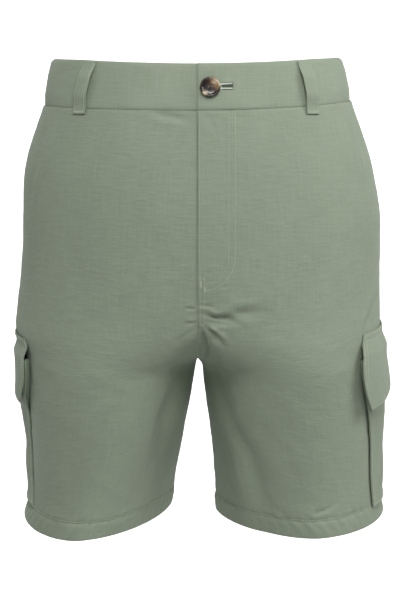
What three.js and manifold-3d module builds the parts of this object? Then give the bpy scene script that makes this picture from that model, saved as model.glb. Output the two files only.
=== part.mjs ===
// Cargo shorts in plain-woven cloth, hollow and open at the waist and hems, as when worn.
// Millimetres. +X is the wearer's left, -Y is the front and +Z is up.
// The origin is the middle of the waist opening, at half the height of the waistband.
import * as THREE from 'three';
import { mergeVertices } from 'three/addons/utils/BufferGeometryUtils.js';
import Module from 'manifold-3d';

// Driving dimensions
const clothWall = 1.3;
const hemWall = 2.0;
const bandWall = 2.4;
const bandProud = 0.6;
const bandRound = 0.45;
const seamGap = 0.3;
const seamSlack = 0.15;
const angleSlack = 0.0014;
const crotchHeight = -274;
const flyBottom = -187;
const flyWidth = 34;
const panelColumns = 15;
const bandSeam = -27;
const hemRow = -433;
const pocketWidth = 155;
const cloth = new THREE.Color(0x8b9783);

// Widest reach from the centre seam at each height
const reach = [
  { z: 26, left: 138.5, right: 140.5 },
  { z: 0, left: 143.8, right: 144.6 },
  { z: -22, left: 149.6, right: 149 },
  { z: -45, left: 158, right: 157 },
  { z: -68, left: 166.4, right: 165 },
  { z: -91, left: 172.4, right: 169.8 },
  { z: -127, left: 179.2, right: 171.8 },
  { z: -157, left: 180.4, right: 172.8 },
  { z: -193, left: 180.9, right: 176.2 },
  { z: -225, left: 181.8, right: 180 },
  { z: -242, left: 182.2, right: 181 },
  { z: -262, left: 180.2, right: 174.8 },
  { z: -303, left: 179, right: 171.6 },
  { z: -340, left: 177, right: 167.2 },
  { z: -385, left: 177, right: 165 },
  { z: -408, left: 181, right: 167.2 },
  { z: -424, left: 187, right: 174 },
  { z: -442, left: 192, right: 179.6 },
];

// Inner side of each leg below the crotch
const inner = [
  { z: -274, left: 0, right: 0 },
  { z: -279, left: 3.4, right: 1.6 },
  { z: -286, left: 5.4, right: 3.2 },
  { z: -303, left: 7, right: 5.6 },
  { z: -359, left: 14, right: 15.4 },
  { z: -400, left: 17.4, right: 22.6 },
  { z: -442, left: 18.4, right: 27 },
];

// How far each leg's own round has parted from the middle: 0 at the hips, a half at the crotch
const parting = [
  { z: 30, share: 0 },
  { z: -130, share: 0 },
  { z: -165, share: 0.035 },
  { z: -192, share: 0.09 },
  { z: -222, share: 0.195 },
  { z: -250, share: 0.38 },
  { z: -267, share: 0.478 },
  { z: -274, share: 0.5 },
];

// Depths from the middle plane, the height of the widest point and the squareness of the section
const depth = [
  { z: 26, front: 113, back: 108, middle: 0, power: 2.45 },
  { z: -27, front: 120, back: 115, middle: 0, power: 2.45 },
  { z: -70, front: 126, back: 130, middle: 2, power: 2.4 },
  { z: -120, front: 129, back: 143, middle: 4, power: 2.35 },
  { z: -180, front: 128, back: 150, middle: 7, power: 2.3 },
  { z: -235, front: 124, back: 147, middle: 10, power: 2.25 },
  { z: -274, front: 120, back: 140, middle: 11, power: 2.15 },
  { z: -310, front: 116, back: 130, middle: 10, power: 2.1 },
  { z: -350, front: 111, back: 117, middle: 7, power: 2.05 },
  { z: -395, front: 109, back: 107, middle: 4, power: 1.9 },
  { z: -442, front: 114.5, back: 103, middle: 0, power: 1.64 },
];

// Heights of a leg panel's rows, closer together at the crotch and the hem
const rowHeights = [
  bandSeam, -44, -64, -87, -112, -138, -164, -189, -211, -230, -246, -258,
  -267, -274, -279, -286, -295, -308, -324, -344, -365, -386, -401, -412, -420, hemRow,
];

// What differs between the two sides. Angles are in degrees round the leg from its front.
const sides = {
  left: {
    sign: 1,
    bandDrop: 7.6,
    bandRise: 7.6,
    hemInside: -432.5,
    hemSlope: -0.029,
    legDepth: 0.97,
    legForward: 5,
    legTurn: 9,
    lap: 0.5,
    seamTurn: { waist: 93, hem: 97 },
    loop: { across: 99, lean: 9 },
    pocket: { mouth: -262, base: -413, flapTop: -238, flapBase: -300.5, flapSlant: 8, flapStand: 13.2 },
    pocketEdge: [
      { z: -242, front: 152, back: 165, flapFront: 156 },
      { z: -258, front: 152, back: 164.8, flapFront: 150.5 },
      { z: -278, front: 153, back: 164.5, flapFront: 149.5 },
      { z: -294, front: 158, back: 164.2, flapFront: 151 },
      { z: -310, front: 161, back: 164, flapFront: 154.5 },
      { z: -330, front: 164.3, back: 163, flapFront: 158 },
      { z: -355, front: 166.8, back: 161.3, flapFront: 160 },
      { z: -390, front: 167.2, back: 161.8, flapFront: 162 },
      { z: -420, front: 169.5, back: 164, flapFront: 165 },
    ],
  },
  right: {
    sign: -1,
    bandDrop: 2.7,
    bandRise: 6.2,
    hemInside: -427.4,
    hemSlope: 0.017,
    legDepth: 1.03,
    legForward: 0,
    legTurn: 13.5,
    lap: -0.9,
    seamTurn: { waist: 94, hem: 103 },
    loop: { across: 101, lean: 10.5 },
    pocket: { mouth: -265, base: -413, flapTop: -245, flapBase: -303.5, flapSlant: 5, flapStand: 10.4 },
    pocketEdge: [
      { z: -242, front: 161, back: 158, flapFront: 165 },
      { z: -258, front: 160, back: 156.8, flapFront: 160 },
      { z: -278, front: 159.5, back: 155.3, flapFront: 158 },
      { z: -294, front: 161, back: 154, flapFront: 159.5 },
      { z: -310, front: 163, back: 153, flapFront: 162.5 },
      { z: -330, front: 164.6, back: 151, flapFront: 163 },
      { z: -355, front: 165, back: 148.3, flapFront: 163 },
      { z: -390, front: 162.5, back: 146.8, flapFront: 162 },
      { z: -420, front: 160.5, back: 146, flapFront: 161 },
    ],
  },
};

// Main creases, each from one place to another on the front or the back, seen along Y
const creases = [
  { face: 'front', from: [-5, -272], to: [-22, -372], width: 9, rise: -3.2 },
  { face: 'front', from: [-20, -345], to: [-44, -418], width: 9, rise: -2.2 },
  { face: 'front', from: [6, -262], to: [24, -350], width: 9, rise: -3.2 },
  { face: 'front', from: [30, -352], to: [57, -424], width: 10, rise: -2.4 },
  { face: 'front', from: [8, -210], to: [62, -212], width: 7, rise: -1.8 },
  { face: 'front', from: [-10, -212], to: [-48, -224], width: 7, rise: -1.4 },
  { face: 'front', from: [-34, -28], to: [-12, -38], width: 5, rise: -1.2 },
  { face: 'back', from: [8, -232], to: [86, -272], width: 11, rise: -3 },
  { face: 'back', from: [-8, -238], to: [-80, -282], width: 11, rise: -2.6 },
  { face: 'back', from: [14, -292], to: [96, -306], width: 12, rise: -2.6 },
  { face: 'back', from: [-18, -300], to: [-90, -322], width: 12, rise: -2.8 },
  { face: 'back', from: [30, -330], to: [70, -420], width: 13, rise: -2.2 },
  { face: 'back', from: [-38, -340], to: [-66, -424], width: 12, rise: -2 },
];

// Smooth curve through one column of a table
function curveOf(table, column) {
  const rows = [...table].sort((a, b) => a.z - b.z);
  const slopes = rows.map((row, i) => {
    const below = rows[Math.max(i - 1, 0)];
    const above = rows[Math.min(i + 1, rows.length - 1)];
    return (above[column] - below[column]) / (above.z - below.z);
  });
  return (z) => {
    const place = Math.min(Math.max(z, rows[0].z), rows.at(-1).z);
    const i = Math.max(rows.findIndex((row) => row.z >= place) - 1, 0);
    const span = rows[i + 1].z - rows[i].z;
    const t = (place - rows[i].z) / span;
    const ease = t * t * (3 - 2 * t);
    const start = slopes[i] * span * t * (1 - t) * (1 - t);
    const end = slopes[i + 1] * span * t * t * (1 - t);
    return rows[i][column] + (rows[i + 1][column] - rows[i][column]) * ease + start - end;
  };
}

const clamp01 = (value) => Math.min(Math.max(value, 0), 1);
const smooth = (value, from, to) => {
  const t = clamp01((value - from) / (to - from));
  return t * t * (3 - 2 * t);
};
const mix = (a, b, t) => a + (b - a) * t;
const bend = (value, power) => Math.sign(value) * Math.abs(value) ** power;
const radians = (degrees) => (degrees * Math.PI) / 180;

const partingAt = curveOf(parting, 'share');
const frontAt = curveOf(depth, 'front');
const backAt = curveOf(depth, 'back');
const middleAt = curveOf(depth, 'middle');
const powerAt = curveOf(depth, 'power');
for (const [name, side] of Object.entries(sides)) {
  side.name = name;
  side.reachAt = curveOf(reach, name);
  side.innerAt = curveOf(inner, name);
  side.pocketFrontAt = curveOf(side.pocketEdge, 'front');
  side.pocketBackAt = curveOf(side.pocketEdge, 'back');
  side.flapFrontAt = curveOf(side.pocketEdge, 'flapFront');
}

// One side's horizontal section: a rounded oval about its own middle
function sectionAt(side, z) {
  const outer = side.reachAt(z);
  const innerEdge = side.innerAt(z);
  const middleX = z > crotchHeight ? outer * partingAt(z) : (outer + innerEdge) / 2;
  const half = outer - middleX;
  const power = powerAt(z);
  const inLeg = smooth(-z, 235, 340);
  const turn = side.legTurn * smooth(-z, 276, 420);
  const deeper = mix(1, side.legDepth, inLeg);
  const middleY = middleAt(z) - side.legForward * inLeg;
  const start = Math.acos(clamp01(middleX / half) ** (power / 2));
  return {
    middleX,
    half: Math.sqrt(half ** 2 - turn ** 2),
    turn,
    power,
    start: z > crotchHeight ? start : 0,
    middleY,
    front: frontAt(z) * deeper + middleY,
    back: backAt(z) * deeper - middleY,
  };
}

// Point of the smooth form. The angle starts at the inner side and runs by the front.
function formPoint(side, z, angle) {
  const s = sectionAt(side, z);
  const along = bend(Math.sin(angle), 2 / s.power);
  const across = s.middleX - s.half * bend(Math.cos(angle), 2 / s.power) + s.turn * along;
  const y = s.middleY - (along > 0 ? s.front : s.back) * along;
  return new THREE.Vector3(side.sign * across, y, z);
}

function formNormal(side, z, angle) {
  const step = 0.02;
  const rise = 2;
  const round = formPoint(side, z, angle + step).sub(formPoint(side, z, angle - step));
  const up = formPoint(side, z + rise, angle).sub(formPoint(side, z - rise, angle));
  return round.cross(up).multiplyScalar(side.sign).normalize();
}

function creaseRise(point, facing) {
  let total = 0;
  for (const crease of creases) {
    const wanted = crease.face === 'front' ? -facing : facing;
    if (wanted <= 0) continue;
    const dx = crease.to[0] - crease.from[0];
    const dz = crease.to[1] - crease.from[1];
    const px = point.x - crease.from[0];
    const pz = point.z - crease.from[1];
    const along = (px * dx + pz * dz) / (dx * dx + dz * dz);
    const off = (px * dz - pz * dx) / Math.hypot(dx, dz);
    const ends = smooth(along, -0.15, 0.25) * (1 - smooth(along, 0.75, 1.15));
    total += crease.rise * ends * Math.exp(-((off / crease.width) ** 2)) * smooth(wanted, 0, 0.4);
  }
  return total;
}

// Point on the cloth itself, moved out by a distance
function clothPoint(side, z, angle, out) {
  const point = formPoint(side, z, angle);
  const normal = formNormal(side, z, angle);
  const across = Math.abs(point.x);
  const overlap = side.lap * (1 - smooth(across, flyWidth * 0.3, flyWidth * 1.3));
  const atFly = normal.y < 0 ? overlap * smooth(z, flyBottom - 30, flyBottom) : 0;
  return point.addScaledVector(normal, out + atFly + creaseRise(point, normal.y));
}

// Slanted heights of the seams and the hem
const bandTop = (side, angle) => 15 + side.bandRise * Math.abs(Math.cos(angle)) ** 1.7;
const bandBase = (side, angle) => -26.5 + side.bandDrop * Math.abs(Math.cos(angle)) ** 1.7;
const hemLine = (side, x) => side.hemInside - side.hemSlope * Math.abs(x);

// Closed wall between an outer and an inner grid of points
function wallSolid(rows, columns, outerPoint, innerPoint) {
  const points = [];
  const index = (layer, i, j) => (layer * (rows + 1) + i) * (columns + 1) + j;
  for (const pointAt of [outerPoint, innerPoint]) {
    for (let i = 0; i <= rows; i += 1) {
      for (let j = 0; j <= columns; j += 1) points.push(pointAt(i / rows, j / columns));
    }
  }
  const faces = [];
  const quad = (a, b, c, d) => faces.push(a, b, c, a, c, d);
  for (let i = 0; i < rows; i += 1) {
    for (let j = 0; j < columns; j += 1) {
      quad(index(0, i, j), index(0, i + 1, j), index(0, i + 1, j + 1), index(0, i, j + 1));
      quad(index(1, i, j), index(1, i, j + 1), index(1, i + 1, j + 1), index(1, i + 1, j));
    }
  }
  for (let i = 0; i < rows; i += 1) {
    quad(index(0, i, 0), index(1, i, 0), index(1, i + 1, 0), index(0, i + 1, 0));
    quad(index(0, i, columns), index(0, i + 1, columns), index(1, i + 1, columns), index(1, i, columns));
  }
  for (let j = 0; j < columns; j += 1) {
    quad(index(0, 0, j), index(0, 0, j + 1), index(1, 0, j + 1), index(1, 0, j));
    quad(index(0, rows, j), index(1, rows, j), index(1, rows, j + 1), index(0, rows, j + 1));
  }
  return facingOut(points, faces);
}

function facingOut(points, faces) {
  let volume = 0;
  for (let k = 0; k < faces.length; k += 3) {
    const [a, b, c] = [points[faces[k]], points[faces[k + 1]], points[faces[k + 2]]];
    volume += a.dot(new THREE.Vector3().crossVectors(b, c));
  }
  const geometry = new THREE.BufferGeometry();
  geometry.setAttribute('position', new THREE.Float32BufferAttribute(points.flatMap((p) => [p.x, p.y, p.z]), 3));
  geometry.setIndex(volume < 0 ? faces.slice().reverse() : faces);
  geometry.computeVertexNormals();
  return geometry;
}

// Panel of one leg, from the band's seam to the hem, between two angles round the leg
function legPanel(side, fromAngle, toAngle) {
  const place = (v, u) => {
    const nominal = rowHeights[Math.round(v * (rowHeights.length - 1))];
    const angleAt = (z) => mix(fromAngle(z), toAngle(z), u);
    const x = formPoint(side, nominal, angleAt(nominal)).x;
    const toSeam = (bandBase(side, angleAt(nominal)) - seamGap - bandSeam) * smooth(nominal, -80, bandSeam);
    const toHem = (hemLine(side, x) - hemRow) * smooth(-nominal, 330, -hemRow);
    const z = nominal + toSeam + toHem;
    return { z, angle: angleAt(z) };
  };
  const pointAt = (v, u, out) => {
    const { z, angle } = place(v, u);
    const point = clothPoint(side, z, angle, out);
    point.x = side.sign * (Math.max(side.sign * point.x, 0) + seamSlack);
    return point;
  };
  const wallAt = (v) => (v > 0.9 ? hemWall : clothWall);
  return wallSolid(
    rowHeights.length - 1,
    panelColumns,
    (v, u) => pointAt(v, u, 0),
    (v, u) => pointAt(v, u, -wallAt(v)),
  );
}

const innerAngle = (side) => (z) => Math.max(sectionAt(side, z).start, angleSlack);
const seatAngle = (side) => (z) => 2 * Math.PI - innerAngle(side)(z);
const sideAngle = (side, slack) => (z) => {
  const { waist, hem } = side.seamTurn;
  return radians(90 + mix(waist, hem, smooth(-z, 100, 330))) + slack;
};

function bandHalf(side) {
  const pointAt = (v, u, out) => {
    const angle = mix(Math.PI / 2, (3 * Math.PI) / 2, u);
    const z = mix(bandBase(side, angle), bandTop(side, angle), v);
    const edge = bandRound * (1 - Math.sin(Math.PI * v) ** 0.5);
    const point = clothPoint(side, z, angle, out > 0 ? out - edge : out);
    point.x = side.sign * (Math.max(side.sign * point.x, 0) + seamSlack);
    return point;
  };
  return wallSolid(5, 30, (v, u) => pointAt(v, u, bandProud), (v, u) => pointAt(v, u, bandProud - bandWall));
}

// Angle at which a side's form reaches a distance across, on its front or back
function angleAcross(side, z, across, back) {
  const s = sectionAt(side, z);
  let angle = Math.PI / 2;
  for (let pass = 0; pass < 12; pass += 1) {
    const turned = s.turn * bend(Math.sin(angle), 2 / s.power) * (back ? -1 : 1);
    const cosine = bend((s.middleX + turned - across) / s.half, s.power / 2);
    angle = Math.acos(Math.min(Math.max(cosine, -1), 1));
  }
  return back ? 2 * Math.PI - angle : angle;
}

const shield = { top: 11, from: -8, to: 33, behindPanel: 2.9, behindBand: 3.9 };
function flyShield() {
  const side = sides.left;
  const standIn = (z) => mix(shield.behindPanel, shield.behindBand, smooth(z, -40, -28));
  const pointAt = (v, u, out) => {
    const z = mix(flyBottom, shield.top, v);
    const across = mix(shield.from, shield.to, u);
    const angle = angleAcross(side, z, across, false);
    const point = formPoint(side, z, angle);
    const normal = formNormal(side, z, angle);
    return point.addScaledVector(normal, -standIn(z) + out);
  };
  return wallSolid(14, 5, (v, u) => pointAt(v, u, 0), (v, u) => pointAt(v, u, -clothWall));
}

// Belt loop: a strip sewn down at both ends, with room for a belt under it
const backLoop = { across: 92, lean: 4 };
const loop = { width: 14, wall: 1.5, top: 17.2, base: -30.5, gap: 8.2, seat: 0.55 };
function beltLoop(side, across, lean, back) {
  const profile = (v) => {
    const z = mix(loop.base, loop.top, v);
    const seat = mix(loop.seat, bandProud + loop.seat, smooth(z, -29, -26.4));
    const lift = smooth(z, -27, -12) * (1 - smooth(z, -1, 15.5));
    return { z, out: seat + (loop.gap - seat + bandProud) * lift };
  };
  const baseAngle = (z) => angleAcross(side, z, across - lean * (z / 46), back);
  const pointAt = (v, u, away) => {
    const { z, out } = profile(v);
    const ahead = profile(v + 0.02);
    const behind = profile(v - 0.02);
    const slope = (ahead.out - behind.out) / (ahead.z - behind.z);
    const length = Math.hypot(1, slope);
    const angle = baseAngle(z);
    const normal = formNormal(side, z, angle);
    const level = new THREE.Vector3(normal.x, normal.y, 0).normalize();
    const sideways = new THREE.Vector3(-level.y, level.x, 0);
    const point = clothPoint(side, z, angle, 0);
    point.addScaledVector(level, out + away / length);
    point.addScaledVector(sideways, mix(-loop.width / 2, loop.width / 2, u));
    point.z -= (away * slope) / length;
    return point;
  };
  return wallSolid(18, 2, (v, u) => pointAt(v, u, loop.wall), (v, u) => pointAt(v, u, 0));
}

// Patch pocket on the side of the leg: places are shares down it and round it
const pouch = { stand: 5.6, swell: 4.2 };
const bellows = { inset: 3, fold: 1.6, seat: 0.95, rest: 0.7, corner: 9 };
function pocketPlace(side, down, round) {
  const { mouth, base } = side.pocket;
  const z = mix(mouth, base, down);
  const front = angleAcross(side, z, side.pocketFrontAt(z), false);
  const back = angleAcross(side, z, side.pocketBackAt(z), true);
  return { z, angle: mix(front, back, round) };
}

function pocketStand(down, round) {
  const across = Math.sin(Math.PI * clamp01(round));
  const along = smooth(down, -0.1, 0.6) * (1 - 0.7 * smooth(down, 0.75, 1));
  return pouch.stand + pouch.swell * across * along;
}

function pocketPanel(side) {
  const pointAt = (v, u, away) => {
    const { z, angle } = pocketPlace(side, v, u);
    return clothPoint(side, z, angle, pocketStand(v, u) + away);
  };
  return wallSolid(11, 12, (v, u) => pointAt(v, u, clothWall), (v, u) => pointAt(v, u, 0));
}

// Strip that closes the pocket's front, bottom and back, folded inwards at half its height
function pocketGusset(side) {
  const { mouth, base } = side.pocket;
  const tall = mouth - base;
  const radius = bellows.corner;
  const pathAt = (t, inset) => {
    const low = tall - inset;
    const near = inset;
    const far = pocketWidth - inset;
    const arc = (Math.PI / 2) * radius;
    const lengths = [low - radius, arc, far - near - 2 * radius, arc, low - radius];
    const total = lengths.reduce((sum, value) => sum + value, 0);
    let run = t * total;
    let leg = 0;
    while (leg < 4 && run > lengths[leg]) {
      run -= lengths[leg];
      leg += 1;
    }
    const turn = run / radius;
    if (leg === 0) return [near, run];
    if (leg === 1) return [near + radius * (1 - Math.cos(turn)), low - radius + radius * Math.sin(turn)];
    if (leg === 2) return [near + radius + run, low];
    if (leg === 3) return [far - radius + radius * Math.sin(turn), low - radius + radius * Math.cos(turn)];
    return [far, low - radius - run];
  };
  const pointAt = (v, u, thick) => {
    const inset = bellows.inset + bellows.fold * Math.sin(Math.PI * v) + thick;
    const [across, down] = pathAt(u, inset);
    const share = [down / tall, across / pocketWidth];
    const { z, angle } = pocketPlace(side, ...share);
    const top = pocketStand(...share) - bellows.rest;
    return clothPoint(side, z, angle, mix(bellows.seat, top, v));
  };
  return wallSolid(2, 32, (v, u) => pointAt(v, u, 0), (v, u) => pointAt(v, u, clothWall));
}

const flap = { wall: 1.7, overhang: 4, seat: 0.65, clear: 7.6, sewn: 4.5 };
function pocketFlap(side) {
  const { flapTop, flapBase, flapSlant, flapStand, mouth } = side.pocket;
  const pointAt = (v, u, away) => {
    const base = flapBase - flapSlant * (1 - smooth(u, 0, 0.5));
    const z = mix(flapTop, base, v);
    const front = angleAcross(side, z, side.flapFrontAt(z), false);
    const back = angleAcross(side, z, side.pocketBackAt(z) - flap.overhang, true);
    const angle = mix(front, back, u);
    const clear = mix(flap.seat, flap.clear, smooth(z, flapTop - flap.sewn, mouth + 2));
    const out = clear + (flapStand - flap.clear) * clamp01((mouth - z) / (mouth - base));
    return clothPoint(side, z, angle, out + away);
  };
  return wallSolid(8, 12, (v, u) => pointAt(v, u, flap.wall), (v, u) => pointAt(v, u, 0));
}

// Four-hole button with a raised rim, facing along its own +Z
const button = { radius: 9.2, rim: 3.4, dish: 2.3, holeRadius: 0.9, holeRing: 2.2, x: 11.2, z: -6.5 };
async function buttonGeometry() {
  const wasm = await Module();
  wasm.setup();
  const toSolid = (geometry) => {
    geometry.deleteAttribute('normal');
    geometry.deleteAttribute('uv');
    const merged = mergeVertices(geometry, 1e-3);
    const vertProperties = new Float32Array(merged.attributes.position.array);
    const triVerts = new Uint32Array(merged.index.array);
    return new wasm.Manifold(new wasm.Mesh({ numProp: 3, vertProperties, triVerts }));
  };
  const { radius, rim, dish } = button;
  const outline = [
    [0, 0],
    [radius * 0.8, 0],
    [radius, rim * 0.45],
    [radius * 0.97, rim * 0.85],
    [radius * 0.87, rim],
    [radius * 0.76, rim * 0.94],
    [radius * 0.62, dish],
    [0, dish],
  ].map(([r, height]) => new THREE.Vector2(r, height));
  const disc = new THREE.LatheGeometry(outline, 28);
  disc.rotateX(Math.PI / 2);
  let solid = toSolid(disc);
  for (let k = 0; k < 4; k += 1) {
    const turn = Math.PI / 4 + (k * Math.PI) / 2;
    const hole = new THREE.CylinderGeometry(button.holeRadius, button.holeRadius, rim * 4, 8);
    hole.rotateX(Math.PI / 2);
    hole.translate(button.holeRing * Math.cos(turn), button.holeRing * Math.sin(turn), 0);
    solid = solid.subtract(toSolid(hole));
  }
  const mesh = solid.getMesh();
  const geometry = new THREE.BufferGeometry();
  geometry.setAttribute('position', new THREE.Float32BufferAttribute(mesh.vertProperties, 3));
  geometry.setIndex([...mesh.triVerts]);
  geometry.computeVertexNormals();
  return geometry;
}

const shorts = new THREE.Group();
const addPiece = (name, geometry, color = cloth, roughness = 0.85) => {
  const material = new THREE.MeshStandardMaterial({ color, roughness, metalness: 0 });
  const mesh = new THREE.Mesh(geometry, material);
  mesh.name = name;
  shorts.add(mesh);
  return mesh;
};

for (const side of Object.values(sides)) {
  addPiece(`front_${side.name}`, legPanel(side, innerAngle(side), sideAngle(side, -angleSlack)));
  addPiece(`back_${side.name}`, legPanel(side, sideAngle(side, angleSlack), seatAngle(side)));
  addPiece(`waistband_${side.name}`, bandHalf(side));
  addPiece(`belt_loop_front_${side.name}`, beltLoop(side, side.loop.across, side.loop.lean, false));
  addPiece(`belt_loop_back_${side.name}`, beltLoop(side, backLoop.across, backLoop.lean, true));
  addPiece(`cargo_pocket_${side.name}`, pocketPanel(side));
  addPiece(`cargo_gusset_${side.name}`, pocketGusset(side));
  addPiece(`cargo_flap_${side.name}`, pocketFlap(side));
}
addPiece('belt_loop_back_centre', beltLoop(sides.left, 0, 0, true));
addPiece('fly_shield', flyShield());

const horn = new THREE.Color(0x4a3524);
const waistButton = addPiece('waist_button', await buttonGeometry(), horn, 0.3);
const buttonAngle = angleAcross(sides.left, button.z, button.x, false);
const buttonOut = formNormal(sides.left, button.z, buttonAngle);
waistButton.position.copy(clothPoint(sides.left, button.z, buttonAngle, bandProud + 0.4));
waistButton.quaternion.setFromUnitVectors(new THREE.Vector3(0, 0, 1), buttonOut);

export default shorts;
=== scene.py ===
import math

import bpy
import numpy as np
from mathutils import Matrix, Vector


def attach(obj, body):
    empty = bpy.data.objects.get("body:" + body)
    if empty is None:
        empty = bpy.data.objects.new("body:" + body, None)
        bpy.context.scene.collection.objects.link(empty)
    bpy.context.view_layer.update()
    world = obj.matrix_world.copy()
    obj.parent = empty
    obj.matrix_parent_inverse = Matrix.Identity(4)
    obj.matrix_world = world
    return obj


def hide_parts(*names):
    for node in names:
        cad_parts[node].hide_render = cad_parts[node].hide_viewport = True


# Cargo shorts in sage plain weave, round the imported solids. +X is the wearer's left, -Y the front.
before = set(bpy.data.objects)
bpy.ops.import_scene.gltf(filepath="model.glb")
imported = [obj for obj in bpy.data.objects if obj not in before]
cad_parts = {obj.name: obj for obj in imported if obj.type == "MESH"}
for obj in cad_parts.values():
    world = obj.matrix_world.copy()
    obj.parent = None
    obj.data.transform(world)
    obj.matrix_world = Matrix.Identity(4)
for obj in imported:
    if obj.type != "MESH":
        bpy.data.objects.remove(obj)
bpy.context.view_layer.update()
print("frame in place:", len(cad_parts), "solids")

mm = 0.001  # sizes below are millimetres, heights are from the middle of the waistband

shortsForm = {
    "crotch": -274,
    "bandSeam": -27,
    "hemRow": -433,
    "seamGap": 0.25,
    "seamSlack": 0.015,
    "angleSlack": 0.0002,
    "clothWall": 1.2,
    "hemWall": 1.9,
    "bandWall": 2.3,
    "bandProud": 0.6,
    "flyBottom": -187,
    "flyWidth": 34,
    # height, widest reach on the left and on the right
    "reach": [
        (26, 138.5, 140.5), (0, 143.8, 144.6), (-22, 149.6, 149), (-45, 158, 157),
        (-68, 166.4, 165), (-91, 172.4, 169.8), (-127, 179.2, 171.8), (-157, 180.4, 172.8),
        (-193, 180.9, 176.2), (-225, 181.8, 180), (-242, 182.2, 181), (-262, 180.2, 174.8),
        (-303, 179, 171.6), (-340, 177, 167.2), (-385, 177, 165), (-408, 181, 167.2),
        (-424, 187, 174), (-442, 192, 179.6),
    ],
    # height, inner side of each leg
    "inner": [
        (-274, 0, 0), (-279, 3.4, 1.6), (-286, 5.4, 3.2), (-303, 7, 5.6),
        (-359, 14, 15.4), (-400, 17.4, 22.6), (-442, 18.4, 27),
    ],
    # height, how far each leg's own round has parted from the middle
    "parting": [
        (30, 0), (-130, 0), (-165, 0.035), (-192, 0.09),
        (-222, 0.195), (-250, 0.38), (-267, 0.478), (-274, 0.5),
    ],
    # height, depth to the front, to the back, where it is widest, squareness
    "depth": [
        (26, 113, 108, 0, 2.45), (-27, 120, 115, 0, 2.45), (-70, 126, 130, 2, 2.4),
        (-120, 129, 143, 4, 2.35), (-180, 128, 150, 7, 2.3), (-235, 124, 147, 10, 2.25),
        (-274, 120, 140, 11, 2.15), (-310, 116, 130, 10, 2.1), (-350, 111, 117, 7, 2.05),
        (-395, 109, 107, 4, 1.9), (-442, 114.5, 103, 0, 1.64),
    ],
}

leftSide = {
    "name": "left", "sign": 1, "column": 1,
    "bandDrop": 7.6, "bandRise": 7.6, "hemInside": -432.5, "hemSlope": -0.029,
    "legDepth": 0.97, "legForward": 5, "legTurn": 9, "lap": 0.5, "seamTurn": (93, 97),
    "mouth": -262, "pocketBase": -413, "flapTop": -238, "flapBase": -300.5, "flapSlant": 8, "flapStand": 13.2,
    "pocketPress": 3.1, "pressFrom": (0.05, 0.2),
    # height, pocket's front edge, back edge, flap's front edge
    "pocketEdge": [
        (-242, 152, 165, 156), (-258, 152, 164.8, 150.5), (-278, 153, 164.5, 149.5),
        (-294, 158, 164.2, 151), (-310, 161, 164, 154.5),
        (-330, 164.3, 163, 158), (-355, 166.8, 161.3, 160), (-390, 167.2, 161.8, 162), (-420, 169.5, 164, 165),
    ],
}

rightSide = {
    "name": "right", "sign": -1, "column": 2,
    "bandDrop": 2.7, "bandRise": 6.2, "hemInside": -427.4, "hemSlope": 0.017,
    "legDepth": 1.03, "legForward": 0, "legTurn": 13.5, "lap": -0.9, "seamTurn": (94, 103),
    "mouth": -265, "pocketBase": -413, "flapTop": -245, "flapBase": -303.5, "flapSlant": 5, "flapStand": 10.4,
    "pocketPress": 4.7, "pressFrom": (0.24, 0.42),
    "pocketEdge": [
        (-242, 161, 158, 165), (-258, 160, 156.8, 160), (-278, 159.5, 155.3, 158),
        (-294, 161, 154, 159.5), (-310, 163, 153, 162.5),
        (-330, 164.6, 151, 163), (-355, 165, 148.3, 163), (-390, 162.5, 146.8, 162), (-420, 160.5, 146, 161),
    ],
}


def curveThrough(rows, column=1):
    rows = sorted(rows)
    height = np.array([row[0] for row in rows], float)
    value = np.array([row[column] for row in rows], float)
    place = np.arange(len(rows))
    below, above = np.maximum(place - 1, 0), np.minimum(place + 1, len(rows) - 1)
    slope = (value[above] - value[below]) / (height[above] - height[below])

    def at(z):
        z = np.clip(z, height[0], height[-1])
        k = np.clip(np.searchsorted(height, z, side="left") - 1, 0, len(rows) - 2)
        span = height[k + 1] - height[k]
        t = (z - height[k]) / span
        ease = t * t * (3 - 2 * t)
        lean = slope[k] * span * t * (1 - t) ** 2 - slope[k + 1] * span * t * t * (1 - t)
        return value[k] + (value[k + 1] - value[k]) * ease + lean

    return at


def smooth(value, start, end):
    t = np.clip((value - start) / (end - start), 0, 1)
    return t * t * (3 - 2 * t)


def mix(a, b, t):
    return a + (b - a) * t


def bend(value, power):
    return np.sign(value) * np.abs(value) ** power


def unit(vectors):
    return vectors / np.maximum(np.linalg.norm(vectors, axis=-1, keepdims=True), 1e-9)


partingAt = curveThrough(shortsForm["parting"])
frontAt, backAt, middleAt, powerAt = (curveThrough(shortsForm["depth"], k) for k in (1, 2, 3, 4))
for side in (leftSide, rightSide):
    side["reachAt"] = curveThrough(shortsForm["reach"], side["column"])
    side["innerAt"] = curveThrough(shortsForm["inner"], side["column"])
    side["pocketFrontAt"], side["pocketBackAt"], side["flapFrontAt"] = (
        curveThrough(side["pocketEdge"], k) for k in (1, 2, 3)
    )


def sectionAt(side, z):
    outer, inner = side["reachAt"](z), side["innerAt"](z)
    above = z > shortsForm["crotch"]
    middleX = np.where(above, outer * partingAt(z), (outer + inner) / 2)
    half = outer - middleX
    power = powerAt(z)
    inLeg = smooth(-z, 235, 340)
    turn = side["legTurn"] * smooth(-z, 276, 420)
    deeper = mix(1, side["legDepth"], inLeg)
    middleY = middleAt(z) - side["legForward"] * inLeg
    start = np.arccos(np.clip(middleX / half, 0, 1) ** (power / 2))
    return {
        "middleX": middleX,
        "half": np.sqrt(half**2 - turn**2),
        "turn": turn,
        "power": power,
        "start": np.where(above, start, 0),
        "middleY": middleY,
        "front": frontAt(z) * deeper + middleY,
        "back": backAt(z) * deeper - middleY,
    }


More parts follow.
